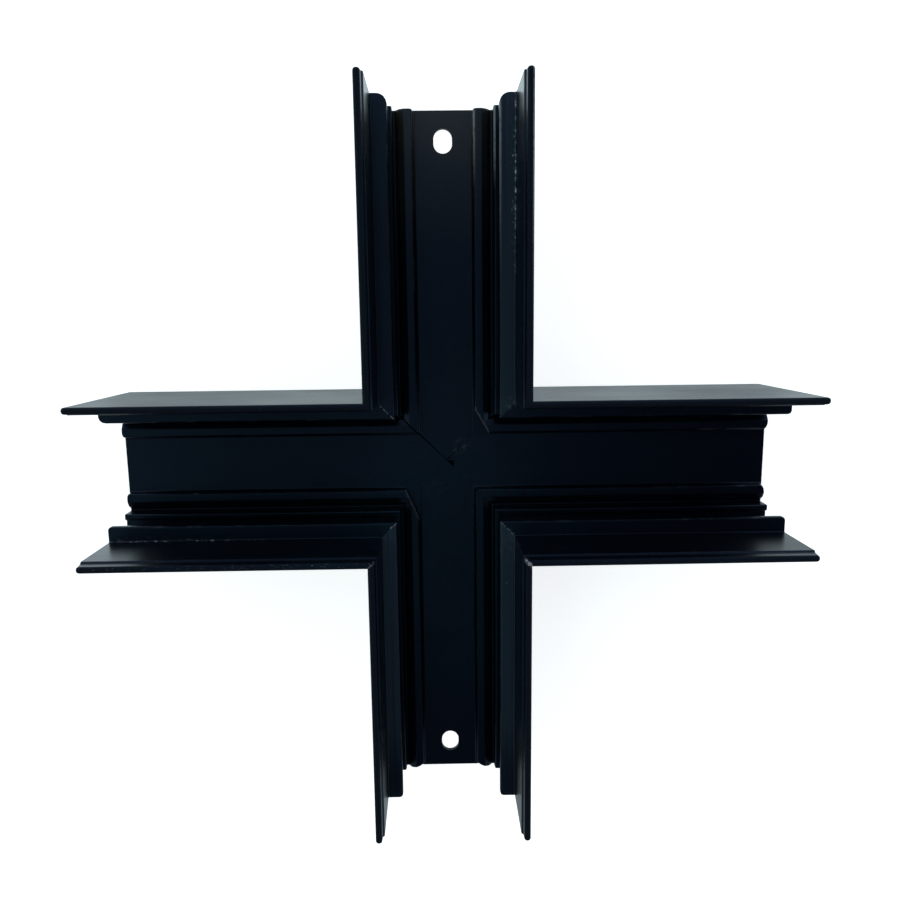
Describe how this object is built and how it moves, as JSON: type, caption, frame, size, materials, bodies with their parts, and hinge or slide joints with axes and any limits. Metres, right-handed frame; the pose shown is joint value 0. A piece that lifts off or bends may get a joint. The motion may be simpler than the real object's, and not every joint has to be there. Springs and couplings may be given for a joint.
{
  "type": "lighting track cross joint",
  "caption": "Four-way cross joint of black aluminium track channel: mitred arms with stepped walls and an open front, held together from the rear slot by corner keys and grub screws.",
  "frame": {"origin": "centre of the cross on its back plane, which lies on the surface it is fixed to", "axes": "+Z out of the open front of the channels, +X along the right arm, +Y along the upper arm"},
  "size_m": [0.196, 0.2028, 0.0525],
  "materials": {
    "black_coat": "satin black coat on extruded aluminium",
    "zinc_plate": "bright zinc plated steel",
    "black_oxide": "black oxide steel"
  },
  "bodies": {
    "root": {"upper_arm": "black_coat", "lower_arm": "black_coat", "left_arm": "black_coat", "right_arm": "black_coat", "corner_key_upper_right": "zinc_plate", "corner_key_upper_left": "zinc_plate", "corner_key_lower_left": "zinc_plate", "corner_key_lower_right": "zinc_plate", "grub_screw_upper_right_in_right_arm_inner": "black_oxide", "grub_screw_upper_right_in_right_arm_outer": "black_oxide", "grub_screw_upper_right_in_upper_arm_inner": "black_oxide", "grub_screw_upper_right_in_upper_arm_outer": "black_oxide", "grub_screw_upper_left_in_upper_arm_inner": "black_oxide", "grub_screw_upper_left_in_upper_arm_outer": "black_oxide", "grub_screw_upper_left_in_left_arm_inner": "black_oxide", "grub_screw_upper_left_in_left_arm_outer": "black_oxide", "grub_screw_lower_left_in_left_arm_inner": "black_oxide", "grub_screw_lower_left_in_left_arm_outer": "black_oxide", "grub_screw_lower_left_in_lower_arm_inner": "black_oxide", "grub_screw_lower_left_in_lower_arm_outer": "black_oxide", "grub_screw_lower_right_in_lower_arm_inner": "black_oxide", "grub_screw_lower_right_in_lower_arm_outer": "black_oxide", "grub_screw_lower_right_in_right_arm_inner": "black_oxide", "grub_screw_lower_right_in_right_arm_outer": "black_oxide"}
  },
  "joints": []
}
